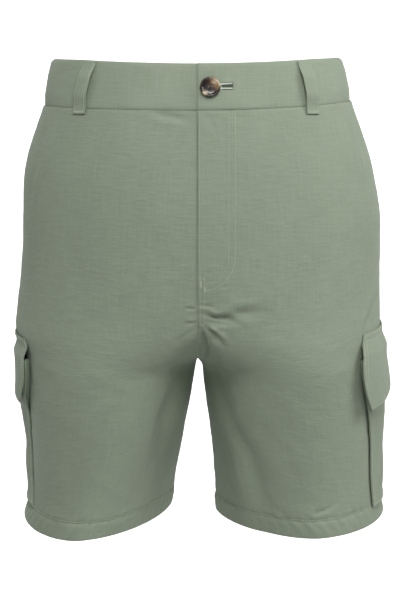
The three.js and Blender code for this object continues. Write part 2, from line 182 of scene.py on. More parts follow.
def formPoint(side, z, angle):
    # smooth form of one side; the angle starts at the inner side and runs by the front
    z, angle = np.broadcast_arrays(np.asarray(z, float), np.asarray(angle, float))
    s = sectionAt(side, z)
    along = bend(np.sin(angle), 2 / s["power"])
    across = s["middleX"] - s["half"] * bend(np.cos(angle), 2 / s["power"]) + s["turn"] * along
    y = s["middleY"] - np.where(along > 0, s["front"], s["back"]) * along
    return np.stack([side["sign"] * across, y, z], -1)


def formNormal(side, z, angle):
    step, rise = 0.02, 2
    around = formPoint(side, z, angle + step) - formPoint(side, z, angle - step)
    up = formPoint(side, z + rise, angle) - formPoint(side, z - rise, angle)
    return unit(np.cross(around, up) * side["sign"])


def bandTop(side, angle):
    return 15 + side["bandRise"] * np.abs(np.cos(angle)) ** 1.7


def bandBase(side, angle):
    return -26.5 + side["bandDrop"] * np.abs(np.cos(angle)) ** 1.7


def hemLine(side, x):
    return side["hemInside"] - side["hemSlope"] * np.abs(x)


def angleAcross(side, z, across, back=False):
    # angle at which the form reaches a distance across, on its front or back
    z, across = np.broadcast_arrays(np.asarray(z, float), np.asarray(across, float))
    s = sectionAt(side, z)
    angle = np.full(z.shape, math.pi / 2)
    for _ in range(12):
        turned = s["turn"] * bend(np.sin(angle), 2 / s["power"]) * (-1 if back else 1)
        cosine = bend((s["middleX"] + turned - across) / s["half"], s["power"] / 2)
        angle = np.arccos(np.clip(cosine, -1, 1))
    return 2 * math.pi - angle if back else angle


# Creases, listed one by one: width, depth, how much a ridge rises beside it, and a path of (x, z) places
frontCreases = [
    # inner side of each leg
    (9.5, 7.0, -0.25, [(-5, -248), (-12.7, -281), (-30.6, -324), (-38, -376), (-48, -414)]),
    (7.5, 4.0, 0.35, [(5.4, -240), (12, -254), (26.5, -316), (35, -332)]),
    (9, 3.8, 0.5, [(33, -326), (50, -360), (60, -398), (68, -426)]),
    (6, 2.0, -0.4, [(26, -340), (30, -372), (34, -408)]),
    # drag lines at the crotch
    (2.7, 3.1, -0.5, [(4.5, -210.5), (11.4, -212.6), (16.9, -214.9), (27.9, -216.4), (38, -220)]),
    (4.6, 2.5, -0.45, [(15, -214.4), (29.7, -212.8), (41.5, -210.2), (60, -208)]),
    (1.5, 1.1, 0.5, [(3, -202.6), (9, -203.6), (16.8, -205.6)]),
    (1.3, 0.45, 0.5, [(4, -206.5), (10, -207.8), (15, -208.6)]),
    (1.7, 1.6, 0.5, [(4.8, -217.8), (13, -219.4), (21.5, -220.6), (32, -222)]),
    (1.4, 1.3, 0.5, [(6.6, -220.8), (15, -222.6), (19.4, -223.8)]),
    (2.1, 3.0, -0.6, [(7.4, -223.2), (15, -230), (21.5, -238), (24, -242)]),
    (1.5, 1.5, 0.4, [(12.5, -232.5), (18.9, -240)]),
    (1.5, 0.8, 0.4, [(8.5, -232), (13.4, -241)]),
    (1.3, 0.35, 0.5, [(3, -198), (9, -198.6)]),
    (1.5, 1.2, 0.5, [(-1, -206.6), (-6, -206), (-12.4, -205.4)]),
    (1.3, 0.35, 0.5, [(-1, -212.4), (-7, -212)]),
    (1.5, 1.3, 0.5, [(-1, -219.4), (-6, -219.8), (-12, -220.8)]),
    (1.3, 0.5, 0.5, [(-0.5, -222.2), (-7, -222.8)]),
    (2.4, 0.7, 0.4, [(-1, -226), (-9, -230), (-22, -241)]),
    (4.8, 6.5, 0.05, [(2.6, -224), (3.6, -238), (4, -252), (3, -266), (2, -276)]),
    # under the waistband and at the end of the fly
    (3.0, 1.9, 0.45, [(-42, -29.5), (-22, -32.5), (-9, -35.5)]),
    (3.5, 0.45, 0.4, [(27, -29), (38, -33), (47, -37)]),
    (3.4, 0.5, 0.4, [(4, -30), (12, -36), (16, -46)]),
    (1.3, 0.6, 0.5, [(2.4, -176.4), (6.8, -177)]),
    (1.5, 0.5, 0.5, [(8, -172.6), (14, -174)]),
    (1.4, 0.6, 0.5, [(7, -187.6), (13.6, -187.4)]),
    (1.5, 0.5, 0.5, [(22, -187), (27, -184.6)]),
    # lower legs and hips
    (1.8, 0.7, 0.6, [(19, -322), (24, -328.5), (27, -330)]),
    (1.8, 0.7, 0.5, [(32, -392.5), (38, -396.5)]),
    (2.2, 0.7, 0.5, [(73, -403), (85, -410)]),
    (3.4, 2.0, 0.6, [(174, -204), (165, -224), (160, -236)]),
    (7, 1.9, 0.4, [(-48, -352), (-60, -388), (-72, -420)]),
    (6, 0.5, 0.4, [(-62, -330), (-84, -372)]),
    (3.4, 0.6, 0.5, [(-36, -352), (-58, -384)]),
    (3.6, 0.6, 0.5, [(-42, -372), (-66, -402)]),
    (8, 0.6, 0.4, [(84, -350), (100, -402)]),
    (6, 0.6, 0.4, [(-150, -262), (-140, -300)]),
    (6, 0.6, 0.4, [(146, -262), (138, -296)]),
    (9, 0.5, 0.4, [(-128, -330), (-118, -378), (-112, -420)]),
    (1.8, 1.5, 0.5, [(108, -407), (124, -402), (134, -397)]),
    (3.4, -0.75, 0.5, [(141, -28), (150, -62), (157, -90), (160, -126)]),
    (3.4, -0.7, 0.5, [(-135, -28), (-141, -70), (-149, -92), (-158, -132)]),
]

backCreases = [
    (10, 2.8, 0.35, [(6, -230), (40, -246), (86, -272)]),
    (10, 2.5, 0.35, [(-6, -236), (-38, -256), (-80, -282)]),
    (11, 2.4, 0.35, [(12, -290), (52, -300), (96, -306)]),
    (11, 2.6, 0.35, [(-16, -298), (-52, -312), (-90, -322)]),
    (12, 2.1, 0.35, [(28, -326), (50, -372), (70, -420)]),
    (11, 1.9, 0.35, [(-36, -336), (-52, -380), (-66, -424)]),
    (3, 0.8, 0.5, [(4, -212), (18, -220), (30, -236)]),
    (3, 0.9, 0.5, [(-4, -206), (-20, -214), (-34, -232)]),
    (4, 1.0, 0.4, [(5, -246), (16, -262), (22, -284)]),
    (4, 1.0, 0.4, [(-5, -250), (-14, -266), (-24, -290)]),
    (7, 0.7, 0.4, [(-100, -300), (-124, -322)]),
    (8, 0.8, 0.4, [(104, -318), (128, -350)]),
    (6, 0.8, 0.4, [(30, -32), (52, -44)]),
    (6, 0.7, 0.4, [(-36, -31), (-60, -46)]),
    (8, 0.8, 0.4, [(-96, -372), (-112, -418)]),
    (8, 0.7, 0.4, [(112, -384), (122, -424)]),
]


def creaseRelief(x, z, creases):
    total = np.zeros(x.shape)
    for number, (size, deep, ridge, places) in enumerate(creases):
        path = np.array(places, float)
        spans = np.linalg.norm(np.diff(path, axis=0), axis=1)
        before = np.concatenate([[0], np.cumsum(spans)])
        best = np.full(x.shape, 1e9)
        off, along = np.zeros(x.shape), np.zeros(x.shape)
        for k, span in enumerate(spans):
            dx, dz = (path[k + 1] - path[k]) / span
            px, pz = x - path[k][0], z - path[k][1]
            run = px * dx + pz * dz
            held = np.clip(run, 0, span)
            away = np.hypot(px - held * dx, pz - held * dz)
            nearer = away < best
            best = np.where(nearer, away, best)
            off = np.where(nearer, np.sign(px * dz - pz * dx) * away, off)
            along = np.where(nearer, (before[k] + held) / before[-1], along)
        width = size * (0.85 + 0.3 * along + 0.12 * np.sin(9 * along + number * 2.1))
        ends = mix(0.25, 1, smooth(along, 0, 0.3)) * mix(0.2, 1, 1 - smooth(along, 0.6, 1))
        trough = np.exp(-((off / width) ** 2))
        beside = np.exp(-(((off * np.sign(ridge) - 1.9 * width) / (1.2 * width)) ** 2))
        total += deep * ends * (abs(ridge) * beside - trough)
    return total


def patchNoise(x, z, wide, tall, seed):
    # soft uneven lumps of about this width and height, the same at each run
    lattice = np.random.default_rng(seed).uniform(-1, 1, (64, 64))
    gx, gz = x / wide + 500.3, z / tall + 500.7
    ix, iz = np.floor(gx).astype(int), np.floor(gz).astype(int)
    tx, tz = smooth(gx - ix, 0, 1), smooth(gz - iz, 0, 1)
    corner = lambda a, b: lattice[(ix + a) % 64, (iz + b) % 64]
    low = mix(corner(0, 0), corner(1, 0), tx)
    high = mix(corner(0, 1), corner(1, 1), tx)
    return mix(low, high, tz)


def clothRelief(side, point, normal):
    # everything that moves the cloth off the smooth form, in millimetres
    x, y, z = point[..., 0], point[..., 1], point[..., 2]
    frontShare, backShare = smooth(-normal[..., 1], 0, 0.4), smooth(normal[..., 1], 0, 0.4)
    total = creaseRelief(x, z, frontCreases) * frontShare + creaseRelief(x, z, backCreases) * backShare
    flyWidth, flyBottom = shortsForm["flyWidth"], shortsForm["flyBottom"]
    overlap = side["lap"] * (1 - smooth(np.abs(x), flyWidth * 0.3, flyWidth * 1.3))
    total += np.where(normal[..., 1] < 0, overlap * smooth(z, flyBottom - 30, flyBottom), 0)
    low = smooth(-z, 60, 330)
    faceSeed = np.where(normal[..., 1] < 0, 0.0, 40.0)
    total += mix(0.3, 0.7, low) * patchNoise(x + faceSeed, z, 46, 62, 11)
    total += mix(0.09, 0.28, low) * patchNoise(x + faceSeed, z + 0.35 * x, 17, 11, 12)
    total += mix(0.06, 0.15, low) * patchNoise(x + faceSeed, z - 0.2 * x, 9, 5.5, 13)
    # finer wrinkles across one thigh, and slanting ones at its inner side above the hem
    thigh = np.exp(-(((x + 75) / 80) ** 2) - (((z + 268) / 60) ** 2))
    total += 0.2 * thigh * patchNoise(x + faceSeed, z + 0.1 * x, 15, 4.6, 14)
    lowLeg = np.exp(-(((x + 55) / 34) ** 2) - (((z + 385) / 40) ** 2))
    total += 0.24 * lowLeg * patchNoise(x * 0.8 - z * 0.6, x * 0.6 + z * 0.8, 22, 5, 15)
    return total


def clothPoint(side, z, angle, out):
    point = formPoint(side, z, angle)
    normal = formNormal(side, z, angle)
    return point + normal * (out + clothRelief(side, point, normal))[..., None]


def spread(count, length, edge=(0.35, 0.9, 1.8), weight=None):
    # places from 0 to 1, closer together at both ends and where the weight is larger
    ends = np.array(edge) / length
    body = np.linspace(0, 1, count + 1)
    if weight:
        fine = np.linspace(0, 1, 1501)
        run = np.cumsum(weight(fine))
        body = np.interp(body, (run - run[0]) / (run[-1] - run[0]), fine)
    body = body[(body > ends[-1] * 1.6) & (body < 1 - ends[-1] * 1.6)]
    return np.concatenate([[0], ends, body, 1 - ends[::-1], [1]])


def runLength(points, axis):
    steps = np.linalg.norm(np.diff(points, axis=axis), axis=-1)
    start = np.zeros_like(np.take(steps, [0], axis=axis))
    return np.concatenate([start, np.cumsum(steps, axis=axis)], axis=axis)


def shellMesh(name, outer, inner, finish, grain=None):
    # a closed wall of cloth between two grids, with its grain as a uv map in metres
    rows, columns = outer.shape[:2]
    count = rows * columns
    points = np.concatenate([outer.reshape(-1, 3), inner.reshape(-1, 3)]) * mm
    grid = np.arange(count).reshape(rows, columns)
    top = np.stack([grid[:-1, :-1], grid[:-1, 1:], grid[1:, 1:], grid[1:, :-1]], -1).reshape(-1, 4)
    border = np.concatenate([grid[0, :-1], grid[:-1, -1], grid[-1, :0:-1], grid[:0:-1, 0]])
    following = np.roll(border, -1)
    rim = np.stack([following, border, border + count, following + count], -1)
    faces = np.concatenate([top, top[:, ::-1] + count, rim])
    corners = points[faces[:, :3]]
    if np.einsum("ij,ij->i", corners[:, 0], np.cross(corners[:, 1], corners[:, 2])).sum() < 0:
        faces = faces[:, ::-1]
    if grain is None:
        across, down = runLength(outer, 1), runLength(outer, 0)
        grain = np.stack([across - across[:, [columns // 2]], down], -1)
    places = np.concatenate([grain.reshape(-1, 2), grain.reshape(-1, 2)]) * mm
    return meshFrom(name, points, faces, finish, places)


def meshFrom(name, points, faces, finish, places=None, sharp=55):
    mesh = bpy.data.meshes.new(name)
    mesh.from_pydata(points.tolist(), [], faces.tolist() if isinstance(faces, np.ndarray) else faces)
    if places is not None:
        layer = mesh.uv_layers.new(name="grain")
        used = np.zeros(len(mesh.loops), np.int32)
        mesh.loops.foreach_get("vertex_index", used)
        layer.data.foreach_set("uv", places[used].astype(np.float32).ravel())
    mesh.shade_smooth()
    mesh.set_sharp_from_angle(angle=math.radians(sharp))
    mesh.materials.append(finish)
    piece = bpy.data.objects.new(name, mesh)
    bpy.context.scene.collection.objects.link(piece)
    return piece


def place(piece, slot, *nodes):
    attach(piece, "root")
    if nodes:
        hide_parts(*nodes)
    return piece


# Finishes
weaveLook = {
    "tone": (0.262, 0.312, 0.232),
    "threadPitch": 0.00062,
    "slubShare": 0.13,
    "mottleShare": 0.07,
}


def nodeMaker(tree):
    def add(kind, inputs=None, **settings):
        node = tree.nodes.new(kind)
        for key, value in settings.items():
            setattr(node, key, value)
        for key, value in (inputs or {}).items():
            socket = node.inputs[key]
            if isinstance(value, bpy.types.NodeSocket):
                tree.links.new(value, socket)
            else:
                socket.default_value = value
        return node

    return add


def weaveFinish(name, tone, slub=1.0, crinkle=1.0):
    material = bpy.data.materials.new(name)
    material.use_nodes = True
    tree = material.node_tree
    tree.nodes.clear()
    add = nodeMaker(tree)
    grain = add("ShaderNodeUVMap", uv_map="grain").outputs["UV"]

    def stretched(wide, tall, shift):
        scale = (1 / wide, 1 / tall, 1)
        inputs = {"Vector": grain, "Scale": scale, "Location": (shift, shift, 0)}
        return add("ShaderNodeMapping", inputs).outputs[0]

    def noise(wide, tall, shift, detail=2.0):
        inputs = {"Vector": stretched(wide, tall, shift), "Scale": 1.0, "Detail": detail, "Roughness": 0.55}
        return add("ShaderNodeTexNoise", inputs).outputs["Fac"]

    def maths(kind, a, b):
        return add("ShaderNodeMath", {0: a, 1: b}, operation=kind).outputs[0]

    weftSlub = noise(0.022, 0.0011, 3.1)
    warpSlub = noise(0.0011, 0.03, 7.7)
    mottle = noise(0.05, 0.06, 1.3)
    parts = add("ShaderNodeSeparateXYZ", {"Vector": grain}).outputs
    wave = 2 * math.pi / weaveLook["threadPitch"]
    warp = maths("SINE", maths("MULTIPLY", parts["X"], wave), 0.0)
    weft = maths("SINE", maths("MULTIPLY", parts["Y"], wave), 0.0)
    threads = maths("MULTIPLY", warp, weft)
    streaks = maths("ADD", weftSlub, warpSlub)
    shade = maths("MULTIPLY", maths("SUBTRACT", streaks, 1.0), weaveLook["slubShare"] * slub * 2)
    shade = maths("ADD", shade, maths("MULTIPLY", maths("SUBTRACT", mottle, 0.5), weaveLook["mottleShare"] * 2))
    shade = maths("ADD", shade, maths("MULTIPLY", threads, 0.05))
    level = maths("ADD", shade, 1.0)
    grey = add("ShaderNodeCombineColor", {0: level, 1: level, 2: level})
    colour = add(
        "ShaderNodeMix",
        {"Factor": 1.0, "A": (*tone, 1), "B": grey.outputs[0]},
        data_type="RGBA", blend_type="MULTIPLY",
    )
    creases = noise(0.01, 0.0038, 5.5, 3.0)
    ripple = add("ShaderNodeBump", {"Height": creases, "Strength": 0.42 * crinkle, "Distance": 0.0012})
    slubs = add(
        "ShaderNodeBump",
        {"Height": streaks, "Strength": 0.35, "Distance": 0.0002, "Normal": ripple.outputs[0]},
    )
    woven = add(
        "ShaderNodeBump",
        {"Height": threads, "Strength": 0.3, "Distance": 0.0001, "Normal": slubs.outputs[0]},
    )
    dull = add(
        "ShaderNodeMapRange",
        {"Value": streaks, "From Min": 0.6, "From Max": 1.4, "To Min": 0.68, "To Max": 0.82},
    )
    shader = add(
        "ShaderNodeBsdfPrincipled",
        {
            "Base Color": colour.outputs["Result"],
            "Roughness": dull.outputs[0],
            "Normal": woven.outputs[0],
            "Specular IOR Level": 0.32,
            "Sheen Weight": 0.22,
            "Sheen Roughness": 0.42,
            "Sheen Tint": (0.86, 0.93, 0.82, 1),
        },
    )
    out = add("ShaderNodeOutputMaterial")
    tree.links.new(shader.outputs[0], out.inputs[0])
    return material


def threadFinish(name, tone):
    material = bpy.data.materials.new(name)
    material.use_nodes = True
    tree = material.node_tree
    tree.nodes.clear()
    add = nodeMaker(tree)
    where = add("ShaderNodeTexCoord").outputs["Object"]
    twist = add("ShaderNodeTexNoise", {"Vector": where, "Scale": 900.0, "Detail": 1.0})
    darker, lighter = [c * 0.86 for c in tone], [c * 1.12 for c in tone]
    colour = add(
        "ShaderNodeMix",
        {"Factor": twist.outputs["Fac"], "A": (*darker, 1), "B": (*lighter, 1)},
        data_type="RGBA",
    )
    bump = add("ShaderNodeBump", {"Height": twist.outputs["Fac"], "Strength": 0.3, "Distance": 0.0002})
    shader = add(
        "ShaderNodeBsdfPrincipled",
        {
            "Base Color": colour.outputs["Result"],
            "Roughness": 0.55,
            "Normal": bump.outputs[0],
            "Sheen Weight": 0.1,
        },
    )
    out = add("ShaderNodeOutputMaterial")
    tree.links.new(shader.outputs[0], out.inputs[0])
    return material


def hornFinish(name):
    # dark brown horn with amber and cream clouds towards one side
    material = bpy.data.materials.new(name)
    material.use_nodes = True
    tree = material.node_tree
    tree.nodes.clear()
    add = nodeMaker(tree)
    where = add("ShaderNodeTexCoord").outputs["Object"]
    clouds = add(
        "ShaderNodeTexNoise",
        {"Vector": where, "Scale": 210.0, "Detail": 3.0, "Roughness": 0.62, "Distortion": 0.8},
    )

    def maths(kind, a, b):
        return add("ShaderNodeMath", {0: a, 1: b}, operation=kind).outputs[0]

    def patch(spot, peak, fade):
        away = add("ShaderNodeVectorMath", {0: where, 1: spot}, operation="DISTANCE").outputs["Value"]
        return maths("MAXIMUM", maths("SUBTRACT", peak, maths("MULTIPLY", away, fade)), 0.0)

    amber = patch((0.0056, 0.0046, 0.003), 0.66, 80.0)
    cream = patch((-0.005, -0.0062, 0.003), 0.8, 190.0)
    pale = maths("MAXIMUM", amber, cream)
    total = maths("ADD", pale, maths("MULTIPLY", clouds.outputs["Fac"], 0.62))
    ramp = add("ShaderNodeValToRGB", {"Fac": total})
    stops = ramp.color_ramp
    stops.elements[0].position, stops.elements[0].color = 0.3, (0.014, 0.009, 0.007, 1)
    stops.elements[1].position, stops.elements[1].color = 0.96, (0.62, 0.52, 0.38, 1)
    between = [(0.44, (0.045, 0.024, 0.014)), (0.6, (0.17, 0.1, 0.05)), (0.76, (0.36, 0.26, 0.15))]
    for position, colour in between:
        stop = stops.elements.new(position)
        stop.color = (*colour, 1)
    shader = add(
        "ShaderNodeBsdfPrincipled",
        {"Base Color": ramp.outputs["Color"], "Roughness": 0.22, "Coat Weight": 0.3, "Coat Roughness": 0.12},
    )
    out = add("ShaderNodeOutputMaterial")
    tree.links.new(shader.outputs[0], out.inputs[0])
    return material


sageCloth = weaveFinish("sage_plain_weave", weaveLook["tone"])
# The waistband, belt loops and flaps take a copy of the same cloth 4% lighter, which is painted sheen, with
# half the crinkle.
sageBandPaintedSheen = weaveFinish("sage_band_painted_sheen", [c * 1.04 for c in weaveLook["tone"]], crinkle=0.5)
sageThread = threadFinish("sage_thread", (0.42, 0.48, 0.37))
paleThread = threadFinish("pale_sage_thread", (0.72, 0.78, 0.7))
buttonThread = threadFinish("button_thread", (0.16, 0.14, 0.1))
tortoiseshell = hornFinish("tortoiseshell_horn")
print("finishes mixed")


# Stitches: each row is a path with the cloth's own normal, sewn as small rounded threads
stitchLook = {"pitch": 2.7, "length": 2.1, "width": 0.78, "proud": 0.46}


def evenly(path, normals, pitch):
    run = np.concatenate([[0], np.cumsum(np.linalg.norm(np.diff(path, axis=0), axis=1))])
    count = max(int(run[-1] / pitch), 2)
    at = (np.arange(count) + 0.5) / count * run[-1]
    pick = lambda values, where: np.stack([np.interp(where, run, values[:, k]) for k in range(3)], -1)
    centre = pick(path, at)
    tangent = unit(pick(path, at + 0.3) - pick(path, at - 0.3))
    return centre, tangent, unit(pick(normals, at))


def threadShapes(centre, along, out, length, width, proud):
    # one five-sided thread a place, tapered at both ends
    sides = 5
    turn = 2 * math.pi * (np.arange(sides) + 0.5) / sides
    across = unit(np.cross(out, along))
    rings = []
    for share in (-0.3, 0.3):
        middle = centre + along * (share * length)
        ring = (
            middle[:, None]
            + across[:, None] * (np.cos(turn) * width / 2)[None, :, None]
            + out[:, None] * (np.sin(turn) * proud)[None, :, None]
        )
        rings.append(ring)
    tips = [centre - along * length / 2 - out * proud * 0.6, centre + along * length / 2 - out * proud * 0.6]
    points = np.concatenate([tips[0][:, None], rings[0], rings[1], tips[1][:, None]], axis=1)
    each = 2 * sides + 2
    faces = []
    for k in range(sides):
        n = (k + 1) % sides
        faces.append((0, 1 + n, 1 + k))
        faces.append((1 + k, 1 + n, 1 + sides + n))
        faces.append((1 + k, 1 + sides + n, 1 + sides + k))
        faces.append((1 + sides + k, 1 + sides + n, each - 1))
    starts = np.arange(len(centre)) * each
    faces = (np.array(faces)[None] + starts[:, None, None]).reshape(-1, 3)
    return points.reshape(-1, 3), faces


def sew(name, rows, finish=None, pitch=None, length=None, width=None, proud=None):
    # every row joined into one mesh
    pitch, length = pitch or stitchLook["pitch"], length or stitchLook["length"]
    width, proud = width or stitchLook["width"], proud or stitchLook["proud"]
    points, faces, total = [], [], 0
    for path, normals in rows:
        centre, along, out = evenly(path, normals, pitch)
        p, f = threadShapes(centre, along, out, length, width, proud)
        points.append(p)
        faces.append(f + total)
        total += len(p)
    piece = meshFrom(name, np.concatenate(points) * mm, np.concatenate(faces), finish or sageThread, sharp=80)
    return place(piece, "cloth")


def onCloth(side, z, angle, lift):
    z, angle = np.broadcast_arrays(np.asarray(z, float), np.asarray(angle, float))
    return clothPoint(side, z, angle, lift), formNormal(side, z, angle)


def bothEdges(point, side):
    point = point.copy()
    point[..., 0] = side["sign"] * (np.maximum(side["sign"] * point[..., 0], 0) + shortsForm["seamSlack"])
    return point


# Leg panels
panelLook = {
    "rows": 222, "columns": 130, "hemDeep": 17.4, "tuck": 1.0, "roll": 0.55,
    "puckerPitch": 7.5, "ripplePitch": 11,
}


def innerAngle(side):
    return lambda z: np.maximum(sectionAt(side, z)["start"], shortsForm["angleSlack"])


def sideAngle(side, slack):
    waist, hem = side["seamTurn"]
    return lambda z: np.radians(90 + mix(waist, hem, smooth(-z, 100, 330))) + slack


def seatAngle(side):
    start = innerAngle(side)
    return lambda z: 2 * math.pi - start(z)


def legPanel(name, side, fromAngle, toAngle):
    look = panelLook
    crotchAndHem = lambda t: 1 + 0.9 * np.exp(-(((t - 0.46) / 0.085) ** 2)) + 0.5 * smooth(t, 0.93, 0.97)
    innerEdge = (lambda t: 1 + 1.5 * np.exp(-((t / 0.1) ** 2))) if "front" in name else None
    v = spread(look["rows"], 405, weight=crotchAndHem)[:, None]
    nominal = mix(shortsForm["bandSeam"], shortsForm["hemRow"], v)
    u = spread(look["columns"], 250, weight=innerEdge)[None, :]
    angle = mix(fromAngle(nominal), toAngle(nominal), u)
    x = formPoint(side, nominal, angle)[..., 0]
    toSeam = (bandBase(side, angle) - shortsForm["seamGap"] - shortsForm["bandSeam"]) * smooth(
        nominal, -80, shortsForm["bandSeam"]
    )
    toHem = (hemLine(side, x) - shortsForm["hemRow"]) * smooth(-nominal, 330, -shortsForm["hemRow"])
    z = nominal + toSeam + toHem
    angle = mix(fromAngle(z), toAngle(z), u)
    base, normal = formPoint(side, z, angle), formNormal(side, z, angle)
    across, down = runLength(base, 1), runLength(base, 0)
    toEdge = np.minimum(across, across[:, [-1]] - across)
    toEnd = np.minimum(down, down[[-1]] - down)
    aboveHem = down[[-1]] - down
    relief = clothRelief(side, base, normal)
    # rolled edges, the hem's tuck and its doubled depth, and the pull of the seams
    relief -= look["roll"] * np.exp(-((np.minimum(toEdge, toEnd) / 0.9) ** 2))
    relief -= look["tuck"] * np.exp(-(((aboveHem - look["hemDeep"]) / 1.6) ** 2))
    relief += 0.35 * smooth(look["hemDeep"] - aboveHem, 1, 5)
    drift = 1.5 * patchNoise(base[..., 0], base[..., 2], 40, 40, 5)
    ripple = np.sin(2 * math.pi * (across * 0.9 + aboveHem * 0.55) / look["ripplePitch"] + drift)
    relief += 0.42 * ripple * np.exp(-(((aboveHem - look["hemDeep"] * 0.75) / 9) ** 2))
    drift = 2.2 * patchNoise(base[..., 0], base[..., 2], 30, 26, 6)
    pucker = np.sin(2 * math.pi * down / look["puckerPitch"] + drift)
    relief += 0.14 * pucker * np.exp(-((toEdge / 7) ** 2)) * smooth(-z, 40, 220)
    relief += 0.3 * np.exp(-(((toEdge - 5) / 4) ** 2)) * smooth(-z, 190, 230)
    wall = mix(shortsForm["clothWall"], shortsForm["hemWall"], smooth(look["hemDeep"] - aboveHem, -0.6, 0.6))
    # the centre seam keeps its place across, so that the two sides meet there
    aboveCrotch = z - shortsForm["crotch"]
    held = np.exp(-((np.abs(base[..., 0]) / 2.2) ** 2)) * smooth(aboveCrotch, -1, 2)
    heading = np.stack([normal[..., 0] * (1 - held), normal[..., 1], normal[..., 2] * (1 - held)], -1)
    outer = bothEdges(base + heading * relief[..., None], side)
    innerSide = bothEdges(base + heading * (relief - wall)[..., None], side)
    grain = np.stack([across - across[:, [across.shape[1] // 2]], down], -1)
    piece = place(shellMesh(name + "_cloth", outer, innerSide, sageCloth, grain), "cloth", name)
    size = runLength(outer, 1)[:, -1].max() * mm, runLength(outer, 0)[-1].max() * mm
    print(name, "is about", [round(v, 3) for v in size])
    return piece


for side in (leftSide, rightSide):
    slack = shortsForm["angleSlack"]
    legPanel("front_" + side["name"], side, innerAngle(side), sideAngle(side, -slack))
    legPanel("back_" + side["name"], side, sideAngle(side, slack), seatAngle(side))
print("leg panels cut")


# Waistband halves
bandLook = {"columns": 230, "rows": 30, "puff": 0.25, "corner": 5.2, "cut": (0.42, 0.042), "area": 0.0172}


def waistband(side):
    look = bandLook
    v = spread(look["rows"], 41)[:, None]
    angle = mix(math.pi / 2, 3 * math.pi / 2, spread(look["columns"], 420))[None, :]
    z = mix(bandBase(side, angle), bandTop(side, angle), v)
    angle = np.broadcast_to(angle, z.shape)
    base, normal = formPoint(side, z, angle), formNormal(side, z, angle)
    across, down = runLength(base, 1), runLength(base, 0)
    toEnd = np.minimum(down, down[[-1]] - down)
    toEdge = np.minimum(across, across[:, [-1]] - across)
    relief = clothRelief(side, base, normal) + shortsForm["bandProud"]
    relief += look["puff"] * smooth(toEnd, 0, 6)
    relief -= 0.6 * np.exp(-((toEnd / 0.9) ** 2)) + 0.3 * np.exp(-((toEdge / 0.9) ** 2))
    # at the sides the band rolls in towards its top and tucks in towards its seam
    atSide = smooth(np.abs(np.cos(angle)), 0.66, 0.97)
    corner = look["corner"]
    fromTop = np.clip(corner - (down[[-1]] - down), 0, corner)
    relief -= atSide * (corner - np.sqrt(corner**2 - fromTop**2) + 1.4 * smooth(down[[-1]] - down, 18, 0))
    relief -= atSide * 1.8 * smooth(down, 12, 0)
    relief += 0.2 * patchNoise(base[..., 0], base[..., 2] * 1.5 + base[..., 1] * 0.4, 22, 30, 21)
    inside = relief - shortsForm["bandWall"] + 1.1 * np.exp(-((toEnd / 0.9) ** 2))
    outer = bothEdges(base + normal * relief[..., None], side)
    innerSide = bothEdges(base + normal * inside[..., None], side)
    grain = np.stack([across, down], -1)
    piece = shellMesh("waistband_" + side["name"] + "_cloth", outer, innerSide, sageBandPaintedSheen, grain)
    place(piece, "cloth", "waistband_" + side["name"])
    return piece


for side in (leftSide, rightSide):
    waistband(side)


# Fly shield behind the opening
shieldLook = {"top": 11, "from": -8, "to": 33, "behindPanel": 2.9, "behindBand": 3.9}


def flyShield():
    side = leftSide
    v, u = spread(60, 198)[:, None], spread(16, 41)[None, :]
    z = mix(shortsForm["flyBottom"], shieldLook["top"], v) + 0 * u
    angle = angleAcross(side, z, mix(shieldLook["from"], shieldLook["to"], u) + 0 * z)
    stand = mix(shieldLook["behindPanel"], shieldLook["behindBand"], smooth(z, -40, -28))
    base, normal = formPoint(side, z, angle), formNormal(side, z, angle)
    outer = base - normal * stand[..., None]
    inner = base - normal * (stand + shortsForm["clothWall"])[..., None]
    piece = place(shellMesh("fly_shield_cloth", outer, inner, sageCloth), "cloth", "fly_shield")


flyShield()
print("waistband and fly made")


# Belt loops
loopLook = {"width": 14, "wall": 1.4, "top": 17.2, "base": -30.5, "gap": 4.8, "seat": 0.55, "edge": 1.7}


def loopShape(side, across, lean, back):
    look = loopLook

    def profile(v):
        z = mix(look["base"], look["top"], v)
        seat = mix(look["seat"], shortsForm["bandProud"] + look["seat"], smooth(z, -29, -26.4))
        lift = smooth(z, -27, -11) * (1 - smooth(z, 0, 15.5))
        return z, seat + (look["gap"] - seat + shortsForm["bandProud"]) * lift

    def at(v, share, away):
        z, out = profile(v)
        (zAhead, ahead), (zBehind, behind) = profile(v + 0.02), profile(v - 0.02)
        slope = (ahead - behind) / (zAhead - zBehind)
        length = np.hypot(1, slope)
        angle = angleAcross(side, z, across - lean * (z / 46), back)
        normal = formNormal(side, z, angle)
        level = unit(normal * [1, 1, 0])
        sideways = np.stack([-level[..., 1], level[..., 0], 0 * level[..., 0]], -1)
        point = formPoint(side, z, angle)
        point = point + normal * clothRelief(side, point, normal)[..., None]
        point = point + level * (out + away / length)[..., None]
        point = point + sideways * (look["width"] * (share - 0.5))[..., None]
        point[..., 2] -= away * slope / length
        facing = unit(level - np.array([0, 0, 1.0]) * slope[..., None])
        return point, facing

    return at


